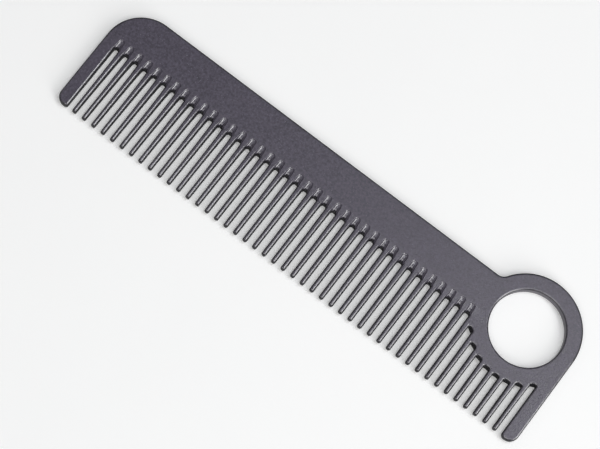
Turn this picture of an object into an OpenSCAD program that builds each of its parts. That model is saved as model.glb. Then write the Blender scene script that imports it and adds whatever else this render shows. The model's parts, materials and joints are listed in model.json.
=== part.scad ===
// Beard comb with a finger ring at one end, moulded in one piece and drawn lying flat.
// X runs along the comb from the plain end to the ring end, the spine edge faces +Y, the teeth
// point to -Y, and Z is the thickness. The origin is under the middle of the comb's box.
// The moulding is divided face to face into its back, ring, guards and teeth, so that each
// is a simple solid and the gaps between the teeth stay open.

/* [Back] */
// Overall length, from the plain end to the ring end
comb_l = 139; // [115:0.5:170]
// Width of the body, from the spine edge to the tips of the thin teeth
body_w = 31.3; // [26:0.1:38]
// Thickness of the back and the finger ring
back_t = 3.2; // [2.6:0.1:4.2]
// Radius of the corner between the spine edge and the plain end
corner_r = 10.2; // [1:0.1:11]

/* [Finger ring] */
// Outside diameter of the ring
ring_d = 27.5; // [23:0.5:34]
// Diameter of the finger hole
hole_d = 19; // [15:0.5:22.8]
// Distance from the spine edge down to the centre of the ring
ring_drop = 6.5; // [4:0.1:9]
// Chamfer around both rims of the finger hole
rim_chamfer = 0.4; // [0.1:0.1:0.8]
// Radius of the fillet where the spine edge runs up onto the ring
ring_fillet_r = 2.5; // [0.5:0.1:5]

/* [Teeth] */
// Number of thin teeth between the two guards
tooth_count = 45; // [25:1:50]
// Width of each gap at its closed end
gap_w = 1.25; // [0.8:0.05:1.6]
// Distance from the spine edge to the closed ends of the gaps
root_drop = 11.9; // [9:0.1:16]
// How far each side of a thin tooth draws in between its root and its tip
tooth_draw = 0.2; // [0:0.05:0.3]
// Thickness of the teeth and the guards at their tips
tip_t = 2.4; // [1.5:0.1:2.9]
// Bevel along the four long edges of a thin tooth
tooth_bevel = 0.35; // [0.1:0.05:0.5]
// Radius of the rounding at the tip of a thin tooth
tip_r = 0.4; // [0.1:0.05:0.5]

/* [Guards] */
// Width of the guard tooth at the plain end
plain_guard_w = 3.6; // [2:0.1:6]
// Width of the guard tooth at the ring end
ring_guard_w = 3.8; // [2:0.1:6]
// How far the ring-end guard reaches past the tips of the thin teeth
ring_guard_over = 0.25; // [0:0.05:1]
// Radius of each guard's outer bottom corner
guard_outer_r = 2.4; // [0.5:0.1:3]
// Radius of the plain-end guard's inner bottom corner
plain_guard_inner_r = 0.7; // [0.2:0.1:1]
// Radius of the ring-end guard's inner bottom corner
ring_guard_inner_r = 1.1; // [0.2:0.1:1.4]

/* [Ramps] */
// Length of the ramp that leads from each face down into a gap
ramp_l = 2.3; // [1:0.1:4]
// Depth of a ramp where it meets the closed end of its gap
ramp_depth = 0.5; // [0.2:0.05:0.9]
// How far a ramp reaches past each side of its gap
ramp_side = 0.3; // [0.1:0.05:0.5]

/* [Hidden] */
$fn = 96;
plastic = [0.29, 0.28, 0.32];
eps = 0.01;
cut = 1;

function tooth_name(i) = str("tooth_", i < 10 ? "0" : "", i);

// Along the comb
end_x = comb_l / 2;
ring_r = ring_d / 2;
ring_x = end_x - ring_r;
plain_guard_x = plain_guard_w - end_x;
ring_guard_x = end_x - ring_guard_w;
pitch = (ring_guard_x - plain_guard_x - gap_w) / tooth_count;
root_w = pitch - gap_w;
function gap_x(i) = plain_guard_x + gap_w / 2 + (i - 1) * pitch;
function tooth_x(i) = gap_x(i) + pitch / 2;

// Across the comb
ring_rise = max(0, ring_r - ring_drop);
spine_y = (body_w + ring_guard_over - ring_rise) / 2;
ring_y = spine_y - ring_drop;
tip_y = spine_y - body_w;
root_y = spine_y - root_drop;
web_y = root_y - gap_w / 2;
ring_guard_y = ring_y - sqrt(pow(ring_r, 2) - pow(ring_r - ring_guard_w, 2));
mid_z = back_t / 2;

// Where the ring meets the back, and the last gap that clears it and so has a ramp
web_end_x = ring_x - sqrt(pow(ring_r, 2) - pow(ring_y - web_y, 2));
full_gaps = len([for (i = [1 : tooth_count + 1]) if (gap_x(i) + gap_w / 2 < web_end_x) i]);

// Centre of the fillet, which dips a hair into the spine edge and the ring to join them cleanly
fillet_y = spine_y + ring_fillet_r - eps;
fillet_x = ring_x - sqrt(pow(ring_r + ring_fillet_r - eps, 2) - pow(fillet_y - ring_y, 2));

// What a rounded corner of radius r loses; the corner points along +X and +Y
module corner_waste(r) {
    difference() {
        translate([-r, -r]) square(r + cut);
        translate([-r, -r]) circle(r);
    }
}

// A round post through the whole thickness
module post(x, y, r) {
    translate([x, y, -cut]) cylinder(h = back_t + 2 * cut, r = r);
}

// The ramp that is cut into the top face above gap i
module top_ramp(i) {
    ramp_w = gap_w + 2 * ramp_side;
    floor_z = back_t - ramp_depth;
    translate([gap_x(i) - ramp_w / 2, 0, 0])
        rotate([90, 0, 90]) linear_extrude(ramp_w) polygon([
            [root_y + ramp_l, back_t],
            [root_y + ramp_l, back_t + cut],
            [web_y - cut, back_t + cut],
            [web_y - cut, floor_z],
            [root_y, floor_z]
        ]);
}

// The ramps of gap i in both faces
module ramps(i) {
    top_ramp(i);
    translate([0, 0, back_t]) mirror([0, 0, 1]) top_ramp(i);
}

// The closed, half-round end of gap i
module gap_end(i) {
    post(gap_x(i), web_y, gap_w / 2);
}

// The plate that runs from the plain end into the ring
module plate() {
    linear_extrude(back_t) difference() {
        translate([-end_x, web_y]) square([end_x + ring_x, spine_y - web_y]);
        translate([-end_x, spine_y]) mirror([1, 0]) corner_waste(corner_r);
    }
}

// The web that fills the corner between the spine edge and the ring
module ring_fillet() {
    difference() {
        linear_extrude(back_t)
            polygon([[fillet_x, ring_y], [fillet_x, fillet_y], [ring_x, ring_y]]);
        post(fillet_x, fillet_y, ring_fillet_r);
    }
}

module back() {
    color(plastic) difference() {
        union() {
            plate();
            ring_fillet();
        }
        post(ring_x, ring_y, ring_r);
        for (i = [1 : full_gaps]) {
            gap_end(i);
            ramps(i);
        }
    }
}

// The ring, with the shoulder that carries it down to the ring-end guard
module finger_ring() {
    hole_r = hole_d / 2;
    shoulder_w = ring_guard_w + cut;
    color(plastic) difference() {
        linear_extrude(back_t) {
            translate([ring_x, ring_y]) circle(ring_r);
            translate([end_x - shoulder_w, ring_guard_y]) square([shoulder_w, ring_y - ring_guard_y]);
        }
        post(ring_x, ring_y, hole_r);
        for (side = [0, 1]) translate([ring_x, ring_y, side * back_t]) mirror([0, 0, side])
            translate([0, 0, -rim_chamfer])
                cylinder(h = 2 * rim_chamfer, r1 = hole_r + 2 * rim_chamfer, r2 = hole_r);
        ramps(full_gaps);
    }
}

// A slab w long in X that thins from the back's thickness at top_y to the tip's at end_y
module taper(w, top_y, end_y) {
    rotate([90, 0, 90]) linear_extrude(w) polygon([
        [top_y, 0], [top_y, back_t], [end_y, mid_z + tip_t / 2], [end_y, mid_z - tip_t / 2]
    ]);
}

// A guard tooth w wide with its outer side at x = 0 and its inner side towards +X
module guard(w, top_y, end_y, inner_r) {
    intersection() {
        taper(w, top_y, end_y);
        linear_extrude(back_t) difference() {
            translate([0, end_y]) square([w, top_y - end_y]);
            translate([0, end_y]) mirror([1, 0]) mirror([0, 1]) corner_waste(guard_outer_r);
            translate([w, end_y]) mirror([0, 1]) corner_waste(inner_r);
        }
    }
}

module plain_guard() {
    color(plastic) translate([-end_x, 0, 0])
        guard(plain_guard_w, web_y, tip_y, plain_guard_inner_r);
}

module ring_guard() {
    color(plastic) translate([end_x, 0, 0]) mirror([1, 0, 0])
        guard(ring_guard_w, ring_guard_y, tip_y - ring_guard_over, ring_guard_inner_r);
}

// A thin slice of a tooth just below y: an eight-sided section w wide and t thick
module tooth_slice(y, w, t) {
    b = min(tooth_bevel, w * 0.3);
    x = w / 2;
    z = t / 2;
    translate([0, y, mid_z]) rotate([90, 0, 0]) linear_extrude(eps) polygon([
        [x, z - b], [x - b, z], [b - x, z], [-x, z - b],
        [-x, b - z], [b - x, -z], [x - b, -z], [x, b - z]
    ]);
}

// A thin tooth from the back or the ring down to its rounded tip
module tooth(i) {
    tip_w = root_w - 2 * tooth_draw;
    color(plastic) difference() {
        translate([tooth_x(i), 0, 0]) hull() {
            tooth_slice(web_y, root_w, back_t);
            for (a = [0 : 30 : 90]) {
                inset = 2 * tip_r * (1 - cos(a));
                tooth_slice(tip_y + eps + tip_r * (1 - sin(a)), tip_w - inset, tip_t - inset);
            }
        }
        post(ring_x, ring_y, ring_r);
    }
}

back();
finger_ring();
plain_guard();
ring_guard();
for (i = [1 : tooth_count]) tooth(i);
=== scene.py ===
"""A beard comb with a finger ring, moulded in one piece, lying on a pale studio floor.

The comb is one continuous skin. Its outline is walked once around, stop by stop, and every stop
carries a column of points that climbs the side wall and rolls over the edge on to the flat face.
"""
import json
import math
from functools import lru_cache

import bmesh
import bpy
from bpy.props import FloatProperty, FloatVectorProperty, PointerProperty
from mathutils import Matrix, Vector
from mathutils.geometry import tessellate_polygon


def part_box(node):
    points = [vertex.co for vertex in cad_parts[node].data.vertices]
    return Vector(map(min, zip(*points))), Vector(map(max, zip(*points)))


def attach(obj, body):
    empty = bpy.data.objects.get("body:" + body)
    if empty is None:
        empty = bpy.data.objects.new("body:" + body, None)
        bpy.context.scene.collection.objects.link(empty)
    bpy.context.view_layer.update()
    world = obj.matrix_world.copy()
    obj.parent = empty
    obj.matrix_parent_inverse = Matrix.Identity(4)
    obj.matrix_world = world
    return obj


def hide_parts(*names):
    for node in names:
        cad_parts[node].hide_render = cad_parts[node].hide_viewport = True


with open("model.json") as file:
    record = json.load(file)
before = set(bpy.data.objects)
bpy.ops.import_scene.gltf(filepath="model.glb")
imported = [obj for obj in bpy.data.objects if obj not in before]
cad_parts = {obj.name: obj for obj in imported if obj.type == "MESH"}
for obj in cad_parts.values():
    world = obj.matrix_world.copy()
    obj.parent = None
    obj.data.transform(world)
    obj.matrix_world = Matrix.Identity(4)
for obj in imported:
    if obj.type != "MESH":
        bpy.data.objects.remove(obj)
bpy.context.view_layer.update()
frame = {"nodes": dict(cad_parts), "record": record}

bl_info = {
    "name": "Beard Comb",
    "version": (1, 0, 0),
    "blender": (4, 5, 0),
    "location": "3D View > Sidebar > Beard Comb",
    "description": "Builds a moulded beard comb with a finger ring, and a studio to show it in",
    "category": "Add Mesh",
}

MM = 0.001

# How finely each stretch of the outline is divided
SIDE_STEPS = 7
TIP_STEPS = 6
ARCH_STEPS = 16
CURVE_SAMPLES = 400
RING_STEPS = 96
HOLE_STEPS = 144
CORNER_STEPS = 28
FILLET_STEPS = 10

# The closed end of a gap: how square it is, and how much of the ring's slope it follows
ARCH_POWER = 2.3
RING_SLOPE_SHARE = 0.5
# Below its root, a tooth reaches its full draft over this many millimetres
DRAFT_REACH = 2.5
# A shorter stretch of side than this is left out, in millimetres
SHORTEST_SIDE = 0.01
# Keeps the points at sharp corners of the outline from running away
MITRE_LIMIT = 0.5

# The rounding of an edge, row by row from the wall to the face: share of its width, share of its
# height left, how rubbed it is and how much it belongs to the wall, smooth and with painted shade
EDGE = (
    (0.00, 1.00, 0.0, 1.0),
    (0.04, 0.72, 0.0, 1.0),
    (0.12, 0.50, 0.1, 1.0),
    (0.20, 0.39, 0.3, 1.0),
    (0.31, 0.285, 0.6, 1.0),
    (0.44, 0.19, 0.9, 0.9),
    (0.57, 0.12, 1.0, 0.7),
    (0.71, 0.06, 1.0, 0.3),
    (0.85, 0.02, 0.7, 0.1),
    (1.00, 0.00, 0.0, 0.0),
)
# Rows that have more of the height left than this are plain wall
WALL_ROWS = 0.6
# How polished and how darkened with painted shade the walls are, where 1 is dark and smooth
WALL_SHADE_AND_POLISH = 1.0
# The finger hole's wall takes only a little of the painted shade
HOLE_SHADE_AND_POLISH = 0.2

# The side wall of a scoop from its floor to the face: share of its width, share of its height, rub
SCOOP_WALL = (
    (0.00, 0.02, 0.6),
    (0.24, 0.11, 1.0),
    (0.46, 0.29, 1.0),
    (0.67, 0.55, 1.0),
    (0.86, 0.83, 1.0),
    (1.00, 1.00, 0.1),
)
# How square a scoop is at its upper end, and how soon it narrows above its gap
SCOOP_POWER = 5.0
SCOOP_NARROWING = 5
# The lip of a scoop: share of its width where its edge stands, and how far below the scoop's floor
# the top of the wall, the edge and the lip lie, in millimetres
LIP_EDGE_SHARE = 0.3
WALL_DROP, EDGE_DROP, LIP_DROP = 0.32, 0.13, 0.02
# Where the row between a scoop's lip and its crease lies
FLOOR_ROW_SHARE = 0.55

# Sizes of the mottling, the flecks and the pits, in millimetres
GRAIN_SIZES = ("Mottle Size", "Fleck Size", "Pit Size")
PLASTIC_GRAIN = (0.6, 0.32, 0.34)
FLOOR_GRAIN = (40.0, 2.0, 0.5)
PLASTIC_BUMP = 0.045 * MM
FLOOR_BUMP = 0.01 * MM
# How far the faces' roughness swings either way with the mottling
ROUGH_SWING = 0.05
# Rubbed edges have no grain: their height is the middle of the grain's
SMOOTH_HEIGHT = 0.5

# The floor, and the lights as name, place, target, size and tint
FLOOR_REACH = 2.0
FLOOR_SQUARES = 8
FLOOR_DROP = 0.02 * MM
FLOOR_SHADE = 0.985
FLOOR_ROUGH = 0.85
FLOOR_GLOSS = 0.2
WHITE = (1.0, 1.0, 1.0)
SOFTBOXES = (
    ("key", (0.62, 0.05, 0.80), (0.02, 0, 0), (0.24, 0.5), WHITE),
    ("rim", (0.84, -0.34, 0.50), (0, 0, 0), (0.3, 0.5), WHITE),
    ("front", (0.08, -0.48, 0.88), (0, 0, 0), (0.5, 0.5), WHITE),
    ("sheen", (0.20, 0.20, 1.0), (0.02, 0, 0), (0.22, 0.4), (0.95, 0.97, 1.0)),
    ("fill", (-0.40, 0.15, 0.8), (0, 0, 0), (0.8, 0.8), WHITE),
)
ROOM_TINT = (0.98, 0.99, 1.0, 1.0)
SENSOR_MM = 36.0
NEAREST_SEEN = 0.01


# ---------------------------------------------------------------- the frame, in millimetres

def box_mm(node):
    """Lowest and highest corner of a CAD node, in millimetres."""
    low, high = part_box(node)
    return [value / MM for value in low], [value / MM for value in high]


def mount_mm(name, key):
    """A dimension of one of the record's mounts, in millimetres."""
    return next(m["dims"][key] for m in frame["record"]["mounts"] if m["name"] == name)


BACK_LOW, BACK_HIGH = box_mm("back")
RING_LOW, RING_HIGH = box_mm("finger_ring")
PLAIN_LOW, PLAIN_HIGH = box_mm("plain_guard")
END_LOW, END_HIGH = box_mm("ring_guard")
TEETH = [box_mm(name) for name in sorted(frame["nodes"]) if name.startswith("tooth_")]
HALF = (BACK_HIGH[2] - BACK_LOW[2]) / 2
RING_R = (RING_HIGH[0] - RING_LOW[0]) / 2
RING_X = RING_LOW[0] + RING_R
RING_Y = RING_HIGH[1] - RING_R
HOLE_R = mount_mm("finger_hole", "r_mm")
WEB_Y = BACK_LOW[1]
TOOTH_LEFT, TIP_Y = TEETH[0][0][:2]
TOOTH_W = TEETH[0][1][0] - TOOTH_LEFT
GAP = TEETH[1][0][0] - TEETH[0][1][0]
ROOT_Y = WEB_Y + GAP / 2


def measure(name, text, default, low, high):
    """A length in millimetres, or a plain factor, with its limits."""
    return FloatProperty(name=name, description=text, default=default, min=low, max=high)


def colour(name, text, default):
    """A colour property."""
    return FloatVectorProperty(name=name, description=text, default=default, size=3,
                               min=0.0, max=1.0, subtype="COLOR")


class CombSizes(bpy.types.PropertyGroup):
    """What shapes the moulding beyond the sizes that the frame fixes, lengths in millimetres."""
    spine_rise: measure("Spine rise", "From the ring's centre up to the spine edge", 6.5, 2, 12)
    corner_r: measure("Corner radius",
                      "Corner between the spine edge and the plain end", 10.2, 1, 12)
    fillet_r: measure("Fillet radius",
                      "Fillet where the spine edge runs up onto the ring", 2.5, 0.5, 5)
    edge_w: measure("Edge width",
                    "How far the rounding of an edge reaches across the face", 0.48, 0.1, 0.6)
    edge_h: measure("Edge height",
                    "How far the rounding of an edge reaches down the side", 0.36, 0.1, 1)
    draft: measure("Draft",
                   "How far the side walls lean out towards the parting line", 0.04, 0, 0.1)
    tooth_draft: measure("Tooth draft", "How far the sides of a thin tooth lean out", 0.12, 0, 0.2)
    tip_t: measure("Tip thickness", "Thickness of the teeth and guards at their tips", 2.4, 1, 3)
    draw: measure("Draw", "How far each side of a tooth draws in towards its tip", 0.2, 0, 0.3)
    draw_power: measure("Draw power", "How much of the draw is close to the root", 1.7, 1, 3)
    tip_r: measure("Tip radius", "Rounding of a thin tooth's tip", 0.46, 0.1, 0.6)
    end_lean: measure("End lean",
                      "How far the end of a gap leans out to the parting line", 0.45, 0, 0.6)
    arch_h: measure("Arch height", "Height of the rounded end of a gap", 0.6, 0.2, 1)
    # A low rim rub takes wear off the outer rim and darkens it with painted shade into a dark line
    rim_rub_and_shade: measure("Rim rub",
                     "How rubbed the outer rim is beside the edges of the teeth", 0.25, 0, 1)
    guard_outer_r: measure("Guard outer radius", "Outer bottom corner of a guard", 2.4, 0.5, 3)
    plain_inner_r: measure("Plain guard inner radius",
                           "Inner bottom corner at the plain end", 0.7, 0.5, 1)
    ring_inner_r: measure("Ring guard inner radius",
                          "Inner bottom corner at the ring end", 1.1, 0.5, 1.5)
    ramp_l: measure("Ramp length", "Length of the scoop above a gap", 2.3, 1, 4)
    ramp_end: measure("Ramp end depth", "Depth of the scoop where it meets its gap", 0.42, 0.1, 1)
    ramp_top: measure("Ramp top depth", "Depth of the scoop at its upper end", 0.22, 0.05, 0.5)
    ramp_top_w: measure("Ramp top width", "Width of the scoop at its upper end", 1.76, 0.6, 2)
    ramp_wall: measure("Ramp wall", "Width of the scoop's sloping side walls", 0.62, 0.1, 0.7)
    ramp_step: measure("Ramp step", "Length of the step at the scoop's upper end", 0.32, 0.1, 0.5)
    ramp_lip: measure("Ramp lip",
                      "Rounding between the scoop's floor and the gap's end", 0.32, 0.05, 0.4)


class CombFinish(bpy.types.PropertyGroup):
    """Colours of the moulded plastic; the wall colour also paints shade on the walls."""
    body: colour("Body", "Main colour of the plastic", (0.075, 0.065, 0.092))
    fleck: colour("Fleck", "Colour of the fibre flecks in the plastic", (0.20, 0.185, 0.23))
    worn: colour("Worn", "Colour of the handled edges", (0.09, 0.08, 0.105))
    # Painted shade: the near-black wall colour stands in for the shade on the side walls and the
    # outer rim
    wall: colour("Wall", "Colour of the smooth side walls", (0.012, 0.011, 0.015))
    mottle: FloatProperty(name="Mottle", description="Strength of the mottling", default=0.36)
    face_rough: FloatProperty(name="Face roughness",
                              description="Roughness of the faces", default=0.34)
    wall_rough: FloatProperty(name="Wall roughness",
                              description="Roughness of the walls", default=0.7)
    edge_rough: FloatProperty(name="Edge roughness",
                              description="Roughness of rubbed edges", default=0.25)
    burnish: FloatProperty(name="Burnish",
                           description="Extra shine on the rubbed edges", default=1.0)
    edge_ior: FloatProperty(name="Edge IOR",
                            description="Refraction of the rubbed edges' shine", default=1.8)
    gloss: FloatProperty(name="Gloss", description="Specular level of the plastic", default=0.5)


class StudioSettings(bpy.types.PropertyGroup):
    """The camera, the floor and the lights."""
    camera_place: FloatVectorProperty(
        name="Camera place", description="Where the camera stands", size=3, subtype="XYZ",
        unit="LENGTH", default=(0.03327, -0.13338, 0.54505))
    camera_turn: FloatVectorProperty(
        name="Camera turn", description="Camera rotation in degrees", size=3,
        default=(12.687, -4.873, 36.898))
    lens: FloatProperty(name="Lens", description="Focal length in millimetres", default=138.0)
    floor: colour("Floor", "Colour of the floor", (0.86, 0.86, 0.855))
    glow: FloatProperty(name="Floor glow",
                        description="How much the floor lights itself", default=0.305)
    key_power: FloatProperty(name="Key", description="Power of the key light in watts", default=2.6)
    rim_power: FloatProperty(name="Rim",
                             description="Power of the low light at the ring end", default=2.5)
    front_power: FloatProperty(name="Front",
                               description="Power of the light in front of the teeth", default=1.9)
    sheen_power: FloatProperty(name="Sheen",
                               description="Power of the high light in watts", default=2.6)
    fill_power: FloatProperty(name="Fill",
                              description="Power of the wide light at the plain end", default=0.5)
    room: FloatProperty(name="Room", description="Brightness of the room around", default=0.06)


# ---------------------------------------------------------------- the comb's outline

class Stop:
    """One place on the outline, with the finger or the scoop that it belongs to."""

    def __init__(self, x, y, finger=None, scoop=None, lean=0.0, rub=1.0):
        self.x = x
        self.y = y
        self.rub = rub
        self.finger = finger
        self.scoop = scoop
        self.lean = lean + (finger.extra_draft(y) if finger else 0)


class Finger:
    """A tooth or a guard: its two sides at the root, its tip and its corner radii."""

    def __init__(self, sides, tip, draw, corners, sizes):
        self.left, self.right = sides
        self.tip = tip
        self.draw = draw
        self.left_r, self.right_r = corners
        self.power = sizes.draw_power
        self.tip_half = sizes.tip_t / 2
        self.lean = sizes.tooth_draft - sizes.draft if draw else 0
        self.cut = WEB_Y

    def extra_draft(self, y):
        """How much more a side leans at height y than the walls of the back."""
        return self.lean * min(1.0, max(0.0, (self.cut - y) / DRAFT_REACH))

    def drawn(self, y):
        """How far a side has drawn in at height y."""
        share = min(1.0, max(0.0, (WEB_Y - y) / (WEB_Y - self.tip)))
        return self.draw * (1 - (1 - share) ** self.power)

    def half(self, y):
        """Half the thickness at height y, which thins evenly from the root to the tip."""
        share = min(1.0, max(0.0, (self.cut - y) / (self.cut - self.tip)))
        return HALF + (self.tip_half - HALF) * share


def fingers(sizes):
    """The plain guard, the thin teeth and the ring-end guard, from left to right."""
    outer, tip_r = sizes.guard_outer_r, sizes.tip_r
    plain_corners, end_corners = (outer, sizes.plain_inner_r), (sizes.ring_inner_r, outer)
    row = [Finger((PLAIN_LOW[0], PLAIN_HIGH[0]), PLAIN_LOW[1], 0, plain_corners, sizes)]
    for number in range(len(TEETH)):
        left = TOOTH_LEFT + number * (TOOTH_W + GAP)
        row.append(Finger((left, left + TOOTH_W), TIP_Y, sizes.draw, (tip_r, tip_r), sizes))
    row.append(Finger((END_LOW[0], END_HIGH[0]), END_LOW[1], 0, end_corners, sizes))
    return row


def arc(x, y, radius, start, end, steps):
    """Points along a circle from one angle to another, in degrees."""
    turns = [math.radians(start + (end - start) * i / steps) for i in range(steps + 1)]
    return [(x + radius * math.cos(a), y + radius * math.sin(a)) for a in turns]


def power_curve(angle, power):
    """A point on a unit super-ellipse, which is a circle at power 2 and squarer above it."""
    c, s = math.cos(angle), math.sin(angle)
    return math.copysign(abs(c) ** (2 / power), c), abs(s) ** (2 / power)


@lru_cache
def even_curve(power, width, height):
    """Places along a super-ellipse of this width and height, evenly spaced from left to right."""
    fine = [power_curve(math.pi * (1 - i / CURVE_SAMPLES), power) for i in range(CURVE_SAMPLES + 1)]
    walked = [0.0]
    for (x0, y0), (x1, y1) in zip(fine, fine[1:]):
        walked.append(walked[-1] + math.hypot((x1 - x0) * width / 2, (y1 - y0) * height))
    places = []
    k = 1
    for i in range(ARCH_STEPS + 1):
        goal = walked[-1] * i / ARCH_STEPS
        while k < CURVE_SAMPLES and walked[k] < goal:
            k += 1
        share = (goal - walked[k - 1]) / (walked[k] - walked[k - 1])
        places.append([a + (b - a) * share for a, b in zip(fine[k - 1], fine[k])])
    return places


def solid_edge(x):
    """Height of the root line, or of the ring's edge where that is lower."""
    across = abs(x - RING_X)
    if across >= RING_R:
        return ROOT_Y
    return min(ROOT_Y, RING_Y - math.sqrt(RING_R ** 2 - across ** 2))


def gap_top(x, left):
    """Height at which the gap on a finger's right ends, sloping less than the ring does there."""
    level = solid_edge(left.right + GAP / 2)
    return level + (solid_edge(x) - level) * RING_SLOPE_SHARE


def arch(left, right, sizes):
    """Stops over the closed end of the gap between two fingers, without its two feet."""
    height = sizes.arch_h
    x0 = left.right - left.drawn(gap_top(left.right, left) - height)
    x1 = right.left + right.drawn(gap_top(right.left, left) - height)
    middle, half = (x0 + x1) / 2, (x1 - x0) / 2
    scooped = solid_edge(right.left) == ROOT_Y
    row = []
    for i in range(1, ARCH_STEPS):
        angle = math.pi * (1 - i / ARCH_STEPS)
        across, up = power_curve(angle, ARCH_POWER)
        x = middle + half * across
        lean = sizes.end_lean * up
        y = gap_top(x, left) - height * (1 - up) - lean
        row.append(Stop(x, y, scoop=(middle, i) if scooped else None, lean=lean))
    return row


def side(finger, edge, sign, end_y, low_y):
    """Stops down one side of a finger, from its end to where its tip starts to round."""
    reach = finger.cut - low_y
    row = []
    if end_y - finger.cut > SHORTEST_SIDE:
        row.append(Stop(edge + sign * finger.drawn(end_y), end_y))
    for i in range(SIDE_STEPS):
        y = finger.cut - reach * i / SIDE_STEPS
        row.append(Stop(edge + sign * finger.drawn(y), y, finger=finger))
    return row


def finger_stops(finger, left_end, right_end):
    """Stops down a finger's left side, round its tip and up its right side."""
    finger.cut = min(left_end, right_end)
    low_left = finger.tip + finger.left_r
    low_right = finger.tip + finger.right_r
    left = side(finger, finger.left, 1, left_end, low_left)
    right = side(finger, finger.right, -1, right_end, low_right)
    x_left = finger.left + finger.draw + finger.left_r
    x_right = finger.right - finger.draw - finger.right_r
    tip = arc(x_left, low_left, finger.left_r, 180, 270, TIP_STEPS)
    tip += arc(x_right, low_right, finger.right_r, 270, 360, TIP_STEPS)
    return left + [Stop(x, y, finger=finger) for x, y in tip] + right[::-1]


def outline(sizes):
    """Every stop, anticlockwise from the plain end's top corner, with the plastic on the left."""
    spine_y = RING_Y + sizes.spine_rise
    corner_x, corner_y = PLAIN_LOW[0] + sizes.corner_r, spine_y - sizes.corner_r
    row = fingers(sizes)
    stops = []
    left_end = corner_y
    for finger, following in zip(row, row[1:]):
        stops += finger_stops(finger, left_end, gap_top(finger.right, finger) - sizes.arch_h)
        stops += arch(finger, following, sizes)
        left_end = gap_top(following.left, finger) - sizes.arch_h
    stops += finger_stops(row[-1], left_end, RING_Y)
    fillet_y = spine_y + sizes.fillet_r
    reach = RING_R + sizes.fillet_r
    fillet_x = RING_X - math.sqrt(reach ** 2 - (fillet_y - RING_Y) ** 2)
    lean = math.degrees(math.atan2(fillet_y - RING_Y, fillet_x - RING_X))
    rest = arc(RING_X, RING_Y, RING_R, 0, lean, RING_STEPS)[1:]
    rest += arc(fillet_x, fillet_y, sizes.fillet_r, lean - 180, -90, FILLET_STEPS)[1:]
    rest += arc(corner_x, corner_y, sizes.corner_r, 90, 180, CORNER_STEPS)[:-1]
    return stops + [Stop(x, y, rub=sizes.rim_rub_and_shade) for x, y in rest]


def hole_outline():
    """Stops round the finger hole, clockwise, so that the plastic is on the left here too."""
    return [Stop(x, y) for x, y in arc(RING_X, RING_Y, HOLE_R, 360, 0, HOLE_STEPS)[:-1]]


# ---------------------------------------------------------------- columns over the edge

def inward(stops):
    """For each stop, the step into the plastic that keeps both of its walls true."""
    steps = []
    for i, stop in enumerate(stops):
        before, after = stops[i - 1], stops[(i + 1) % len(stops)]
        a = Vector((before.y - stop.y, stop.x - before.x)).normalized()
        b = Vector((stop.y - after.y, after.x - stop.x)).normalized()
        middle = (a + b).normalized()
        steps.append(middle / max(MITRE_LIMIT, middle.dot(a)))
    return steps


def edge_column(stop, step, sizes, wall_polish=WALL_SHADE_AND_POLISH):
    """Points (x, y, z, wear, wall mask) from the parting line up the wall and over the edge, the
    mask giving smoothness and painted shade.
    """
    column = [(stop.x, stop.y, 0.0, 0.0, wall_polish)]
    for across, left, wear, shade_and_polish in EDGE:
        shade_and_polish = wall_polish if left > WALL_ROWS else shade_and_polish
        inset = sizes.draft + stop.lean + sizes.edge_w * across
        x, y = stop.x + step.x * inset, stop.y + step.y * inset
        half = stop.finger.half(y) if stop.finger else HALF
        z = half - sizes.edge_h * left
        # Where rub is below 1, as on the outer rim, the wear is less and the painted shade stronger
        column.append((x, y, z, wear * stop.rub, shade_and_polish ** stop.rub))
    return column


def scoop_column(stop, step, sizes):
    """Points (x, y, z, wear, wall mask) up a gap's end, along its scoop's floor and on to the face,
    the mask giving smoothness and painted shade.
    """
    middle, number = stop.scoop
    base = ROOT_Y - sizes.arch_h

    def floor_at(y):
        share = min(1.0, max(0.0, (y - ROOT_Y) / sizes.ramp_l))
        return HALF - sizes.ramp_end + (sizes.ramp_end - sizes.ramp_top) * share

    def rim(low_w, high_w, high_y):
        across, up = even_curve(SCOOP_POWER, 2 * high_w, high_y - base)[number]
        half = high_w + (low_w - high_w) * (1 - up) ** SCOOP_NARROWING
        return Vector((middle + half * across, base + (high_y - base) * up))

    foot = Vector((stop.x, stop.y))
    wall = foot + step * (sizes.draft + stop.lean)
    lip = wall + step * sizes.ramp_lip
    edge = wall + step * sizes.ramp_lip * LIP_EDGE_SHARE
    top_w, top_y = sizes.ramp_top_w / 2, ROOT_Y + sizes.ramp_l
    crease = rim(GAP / 2, top_w - sizes.ramp_wall, top_y - sizes.ramp_step)
    brim = rim(GAP / 2 + sizes.draft + sizes.edge_w, top_w, top_y)
    low = lip.lerp(crease, FLOOR_ROW_SHARE)
    deep = floor_at(crease.y)
    # The gap's end wall takes the near-black colour in full as painted shade; the scoop takes none
    rows = [
        (foot, 0.0, 0.0, 1.0),
        (wall, floor_at(foot.y) - WALL_DROP, 0.2, 1.0),
        (edge, floor_at(foot.y) - EDGE_DROP, 0.8, 0.6),
        (lip, floor_at(lip.y) - LIP_DROP, 1.0, 0.0),
        (low, floor_at(low.y), 0.6, 0.0),
    ]
    for share, climb, wear in SCOOP_WALL:
        rows.append((crease.lerp(brim, share), deep + (HALF - deep) * climb, wear, 0.0))
    return [(p.x, p.y, z, wear, shade_and_polish) for p, z, wear, shade_and_polish in rows]


# ---------------------------------------------------------------- the skin

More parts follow.
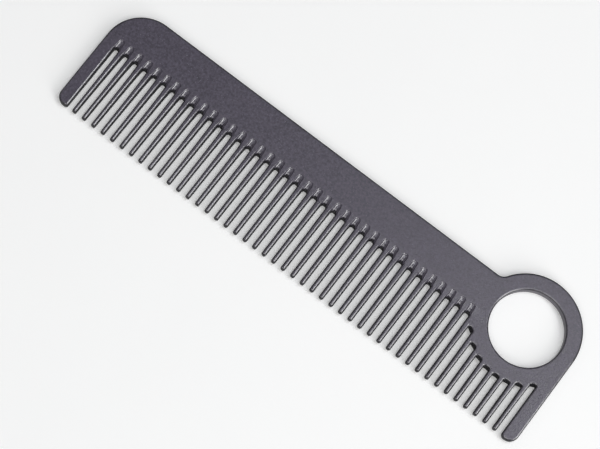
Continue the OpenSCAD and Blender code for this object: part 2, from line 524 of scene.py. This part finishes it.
class Skin:
    """Collects points and faces for both halves, mirrored about the parting plane."""

    def __init__(self):
        self.points = []
        self.wear = []
        self.shade_and_polish = []
        self.twin = {}
        self.faces = []
        self.brim = []

    def point(self, x, y, z, wear, shade_and_polish):
        """Adds a point and, off the parting plane, its twin on the other half."""
        here = len(self.points)
        levels = (z, -z) if z > 0 else (z,)
        self.twin[here] = here + len(levels) - 1
        for level in levels:
            self.points.append((x * MM, y * MM, (HALF + level) * MM))
            self.wear.append(wear)
            self.shade_and_polish.append(shade_and_polish)
        return here

    def face(self, corners):
        """Adds a face and its twin, which turns the other way."""
        self.faces.append(list(corners))
        self.faces.append([self.twin[c] for c in reversed(corners)])

    def wall(self, columns):
        """Adds the quads between each column and the next, and returns the columns' points."""
        grid = [[self.point(*place) for place in column] for column in columns]
        for here, there in zip(grid, grid[1:] + grid[:1]):
            for k in range(len(here) - 1):
                self.face((here[k], there[k], there[k + 1], here[k + 1]))
        return grid

    def flat(self, outer, hole):
        """Adds the triangles of a flat face between two loops of points."""
        loops = [[Vector(self.points[i]) for i in loop] for loop in (outer, hole)]
        corners = outer + hole
        for triangle in tessellate_polygon(loops):
            self.face([corners[i] for i in triangle])


def comb_skin(sizes):
    """The whole comb as points, faces and the two masks."""
    skin = Skin()
    stops, hole = outline(sizes), hole_outline()
    columns = [scoop_column(stop, step, sizes) if stop.scoop else edge_column(stop, step, sizes)
               for stop, step in zip(stops, inward(stops))]
    brim = [column[-1] for column in skin.wall(columns)]
    hole_columns = [edge_column(stop, step, sizes, HOLE_SHADE_AND_POLISH)
                    for stop, step in zip(hole, inward(hole))]
    hole_brim = [column[-1] for column in skin.wall(hole_columns)]
    body = []
    run = []
    for i, stop in enumerate(stops):
        if stop.finger:
            run.append(brim[i])
            if stops[i + 1].finger is not stop.finger:
                skin.face(run)
                body += [run[0], run[-1]]
                run = []
        else:
            body.append(brim[i])
    skin.flat(body, hole_brim)
    skin.brim = brim + hole_brim
    return skin


def comb_mesh(sizes):
    """The comb's closed mesh, with its masks as attributes and flat normals at the brims."""
    skin = comb_skin(sizes)
    mesh = bpy.data.meshes.new("beard_comb")
    mesh.from_pydata(skin.points, [], skin.faces)
    # The wall mask gives the walls their smoothness and their painted shade
    for name, values in (("edge_wear", skin.wear), ("wall_polish", skin.shade_and_polish)):
        mesh.attributes.new(name, "FLOAT", "POINT").data.foreach_set("value", values)
    work = bmesh.new()
    work.from_mesh(mesh)
    bmesh.ops.recalc_face_normals(work, faces=work.faces)
    open_edges = [edge for edge in work.edges if not edge.is_manifold]
    work.to_mesh(mesh)
    work.free()
    mesh.shade_smooth()
    if open_edges:
        raise RuntimeError(f"the comb's skin has {len(open_edges)} open edges")
    normals = [vertex.normal.copy() for vertex in mesh.vertices]
    for point in skin.brim:
        normals[point] = Vector((0, 0, 1))
        normals[skin.twin[point]] = Vector((0, 0, -1))
    mesh.normals_split_custom_set_from_vertices(normals)
    return mesh


# ---------------------------------------------------------------- materials

def add_node(tree, kind, place=(0, 0), **values):
    """A node with its input values set, by name, underscores standing for spaces."""
    node = tree.nodes.new(kind)
    node.location = place
    for name, value in values.items():
        node.inputs[name.replace("_", " ")].default_value = value
    return node


def grain_group():
    """Shared fine grain, sized in millimetres: mottling, sparse flecks and a height for bump."""
    group = bpy.data.node_groups.get("Fine Grain")
    if group:
        return group
    group = bpy.data.node_groups.new("Fine Grain", "ShaderNodeTree")
    face = group.interface
    face.new_socket("Place", in_out="INPUT", socket_type="NodeSocketVector")
    for name in GRAIN_SIZES:
        face.new_socket(name, in_out="INPUT", socket_type="NodeSocketFloat")
    for name in ("Mottle", "Fleck", "Height"):
        face.new_socket(name, in_out="OUTPUT", socket_type="NodeSocketFloat")
    start = add_node(group, "NodeGroupInput", (-900, 0))
    end = add_node(group, "NodeGroupOutput", (500, 0))
    link = group.links.new

    def fine_noise(size, row, detail, roughness):
        """Noise whose blobs are about as many millimetres across as the size input says."""
        scale = add_node(group, "ShaderNodeMath", (-650, row))
        scale.operation = "DIVIDE"
        scale.inputs[0].default_value = 1 / MM
        link(start.outputs[size], scale.inputs[1])
        noise = add_node(group, "ShaderNodeTexNoise", (-400, row), Detail=detail,
                         Roughness=roughness)
        link(start.outputs["Place"], noise.inputs["Vector"])
        link(scale.outputs[0], noise.inputs["Scale"])
        return noise.outputs["Fac"]

    def stretched(source, row, low, high):
        """Stretches a value's middle range out to 0 to 1."""
        node = add_node(group, "ShaderNodeMapRange", (-100, row), From_Min=low, From_Max=high)
        link(source, node.inputs["Value"])
        return node.outputs["Result"]

    mottle = fine_noise("Mottle Size", 250, 3.0, 0.6)
    fleck = fine_noise("Fleck Size", 0, 1.0, 0.5)
    pits = fine_noise("Pit Size", -250, 2.0, 0.6)
    link(stretched(mottle, 250, 0.3, 0.7), end.inputs["Mottle"])
    link(stretched(fleck, 0, 0.66, 0.8), end.inputs["Fleck"])
    link(pits, end.inputs["Height"])
    return group


def feed(tree, socket, value):
    """Links a socket to another one, or sets it to a number or a colour."""
    if isinstance(value, bpy.types.NodeSocket):
        tree.links.new(value, socket)
    else:
        socket.default_value = value if isinstance(value, float) else (*value, 1.0)


def mix_colour(tree, place, factor, a, b):
    """A colour mixed from a to b. Each may be a socket or a colour."""
    mix = add_node(tree, "ShaderNodeMix", place)
    mix.data_type = "RGBA"
    for number, value in ((0, factor), (6, a), (7, b)):
        feed(tree, mix.inputs[number], value)
    return mix.outputs[2]


def mix_value(tree, place, factor, a, b):
    """A value mixed from a to b. Each may be a socket or a number."""
    mix = add_node(tree, "ShaderNodeMix", place)
    for number, value in ((0, factor), (2, a), (3, b)):
        feed(tree, mix.inputs[number], value)
    return mix.outputs[0]


def new_material(name, grain_sizes):
    """A material with its Principled shader, and the shared grain placed on object coordinates."""
    material = bpy.data.materials.new(name)
    material.use_nodes = True
    tree = material.node_tree
    shader = tree.nodes["Principled BSDF"]
    place = add_node(tree, "ShaderNodeTexCoord", (-1200, 0))
    grain = add_node(tree, "ShaderNodeGroup", (-950, 0))
    grain.node_tree = grain_group()
    tree.links.new(place.outputs["Object"], grain.inputs["Place"])
    for socket, size in zip(GRAIN_SIZES, grain_sizes):
        grain.inputs[socket].default_value = size
    return material, tree, shader, grain


def add_bump(tree, shader, height, distance):
    """Feeds a height into the shader's normal."""
    bump = add_node(tree, "ShaderNodeBump", (-250, -350), Distance=distance)
    tree.links.new(height, bump.inputs["Height"])
    tree.links.new(bump.outputs["Normal"], shader.inputs["Normal"])


def add_attribute(tree, place, name):
    """Reads one of the mesh's own masks."""
    node = add_node(tree, "ShaderNodeAttribute", place)
    node.attribute_name = name
    return node.outputs["Fac"]


def plastic_material(finish):
    """Charcoal fibre-filled plastic: satin moulded faces, smoother walls darkened with painted
    shade, rubbed edges.
    """
    material, tree, shader, grain = new_material("comb_plastic", PLASTIC_GRAIN)
    mottle, fleck = grain.outputs["Mottle"], grain.outputs["Fleck"]
    wear = add_attribute(tree, (-950, 350), "edge_wear")
    shade_and_polish = add_attribute(tree, (-950, -300), "wall_polish")
    dark = tuple(channel * (1 - finish.mottle) for channel in finish.body)
    light = tuple(channel * (1 + finish.mottle) for channel in finish.body)
    body = mix_colour(tree, (-700, 150), mottle, dark, light)
    body = mix_colour(tree, (-520, 150), fleck, body, finish.fleck)
    # Painted shade: where the wall mask is high the colour goes near black, standing in for the
    # shade on the walls and the dark rim line
    body = mix_colour(tree, (-340, 150), shade_and_polish, body, finish.wall)
    rubbed = mix_value(tree, (-700, 350), mottle, 0.0, wear)
    body = mix_colour(tree, (-160, 150), rubbed, body, finish.worn)
    tree.links.new(body, shader.inputs["Base Color"])
    smooth, coarse = finish.face_rough - ROUGH_SWING, finish.face_rough + ROUGH_SWING
    rough = mix_value(tree, (-520, -100), mottle, smooth, coarse)
    rough = mix_value(tree, (-340, -100), shade_and_polish, rough, finish.wall_rough)
    rough = mix_value(tree, (-160, -100), wear, rough, finish.edge_rough)
    tree.links.new(rough, shader.inputs["Roughness"])
    shine = mix_value(tree, (-160, -250), wear, 0.0, finish.burnish)
    tree.links.new(shine, shader.inputs["Coat Weight"])
    shader.inputs["Coat Roughness"].default_value = finish.edge_rough
    shader.inputs["Coat IOR"].default_value = finish.edge_ior
    shader.inputs["Specular IOR Level"].default_value = finish.gloss
    height = mix_value(tree, (-520, -350), wear, grain.outputs["Height"], SMOOTH_HEIGHT)
    add_bump(tree, shader, height, PLASTIC_BUMP)
    return material


def floor_material(studio):
    """Pale matt board with a barely visible tooth."""
    material, tree, shader, grain = new_material("pale_floor", FLOOR_GRAIN)
    shade = tuple(channel * FLOOR_SHADE for channel in studio.floor)
    board = mix_colour(tree, (-500, 150), grain.outputs["Mottle"], shade, studio.floor)
    tree.links.new(board, shader.inputs["Base Color"])
    shader.inputs["Roughness"].default_value = FLOOR_ROUGH
    shader.inputs["Specular IOR Level"].default_value = FLOOR_GLOSS
    shader.inputs["Emission Color"].default_value = (*studio.floor, 1.0)
    shader.inputs["Emission Strength"].default_value = studio.glow
    add_bump(tree, shader, grain.outputs["Height"], FLOOR_BUMP)
    return material


# ---------------------------------------------------------------- operators

def link_object(name, data):
    """A new object in the scene."""
    thing = bpy.data.objects.new(name, data)
    bpy.context.scene.collection.objects.link(thing)
    return thing


class COMB_OT_moulding(bpy.types.Operator):
    """Build the whole comb: back, teeth, guards and finger ring, as one moulding"""
    bl_idname = "beard_comb.moulding"
    bl_label = "Comb Moulding"
    bl_options = {"REGISTER", "UNDO"}

    def execute(self, context):
        comb = link_object("beard_comb", comb_mesh(context.scene.comb_sizes))
        comb.data.materials.append(plastic_material(context.scene.comb_finish))
        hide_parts(*sorted(frame["nodes"]))
        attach(comb, "root")
        return {"FINISHED"}


def add_softbox(name, place, aim, size, power, tint):
    """A soft area light, wide and deep as size says, that shines from a place towards a point."""
    lamp = bpy.data.lights.new(name, "AREA")
    lamp.shape = "RECTANGLE"
    lamp.size, lamp.size_y = size
    lamp.energy = power
    lamp.color = tint
    light = link_object(name, lamp)
    light.location = place
    light.rotation_euler = (Vector(aim) - Vector(place)).to_track_quat("-Z", "Y").to_euler()
    return light


class COMB_OT_studio(bpy.types.Operator):
    """Lay a pale floor, hang the soft lights and stand the camera"""
    bl_idname = "beard_comb.studio"
    bl_label = "Studio"
    bl_options = {"REGISTER", "UNDO"}

    def execute(self, context):
        studio = context.scene.comb_studio
        self.lay_floor(studio)
        self.hang_lights(context.scene, studio)
        self.stand_camera(context.scene, studio)
        return {"FINISHED"}

    def lay_floor(self, studio):
        """A wide flat sheet just under the comb."""
        work = bmesh.new()
        bmesh.ops.create_grid(work, x_segments=FLOOR_SQUARES, y_segments=FLOOR_SQUARES,
                              size=FLOOR_REACH)
        bmesh.ops.translate(work, verts=work.verts, vec=(0, 0, -FLOOR_DROP))
        mesh = bpy.data.meshes.new("floor")
        work.to_mesh(mesh)
        work.free()
        floor = link_object("floor", mesh)
        floor.data.materials.append(floor_material(studio))

    def hang_lights(self, scene, studio):
        """The soft lights at their powers, in a dim room."""
        for name, place, aim, size, tint in SOFTBOXES:
            add_softbox(name, place, aim, size, getattr(studio, name + "_power"), tint)
        world = bpy.data.worlds.new("dim_room")
        world.use_nodes = True
        sky = world.node_tree.nodes["Background"]
        sky.inputs["Color"].default_value = ROOM_TINT
        sky.inputs["Strength"].default_value = studio.room
        scene.world = world
        scene.view_settings.view_transform = "Standard"

    def stand_camera(self, scene, studio):
        """A long lens from above, turned to run the comb from corner to corner."""
        lens = bpy.data.cameras.new("camera")
        lens.lens = studio.lens
        lens.sensor_width = SENSOR_MM
        lens.clip_start = NEAREST_SEEN
        camera = link_object("camera", lens)
        camera.location = studio.camera_place
        camera.rotation_euler = [math.radians(turn) for turn in studio.camera_turn]
        scene.camera = camera


class COMB_PT_panel(bpy.types.Panel):
    """Buttons for the comb and its studio"""
    bl_idname = "COMB_PT_panel"
    bl_label = "Beard Comb"
    bl_space_type = "VIEW_3D"
    bl_region_type = "UI"
    bl_category = "Beard Comb"

    def draw(self, context):
        for group in ("comb_sizes", "comb_finish", "comb_studio"):
            settings = getattr(context.scene, group)
            column = self.layout.column()
            for name in settings.__annotations__:
                column.prop(settings, name)
        self.layout.operator(COMB_OT_moulding.bl_idname)
        self.layout.operator(COMB_OT_studio.bl_idname)


CLASSES = (CombSizes, CombFinish, StudioSettings, COMB_OT_moulding, COMB_OT_studio, COMB_PT_panel)


def register():
    """Registers the classes and hangs the settings on the scene."""
    for cls in CLASSES:
        bpy.utils.register_class(cls)
    bpy.types.Scene.comb_sizes = PointerProperty(type=CombSizes)
    bpy.types.Scene.comb_finish = PointerProperty(type=CombFinish)
    bpy.types.Scene.comb_studio = PointerProperty(type=StudioSettings)


def unregister():
    """Takes the settings off the scene and unregisters the classes."""
    del bpy.types.Scene.comb_studio
    del bpy.types.Scene.comb_finish
    del bpy.types.Scene.comb_sizes
    for cls in reversed(CLASSES):
        bpy.utils.unregister_class(cls)


def main():
    """Builds everything."""
    register()
    bpy.ops.beard_comb.moulding()
    bpy.ops.beard_comb.studio()


if __name__ == "__main__":
    main()
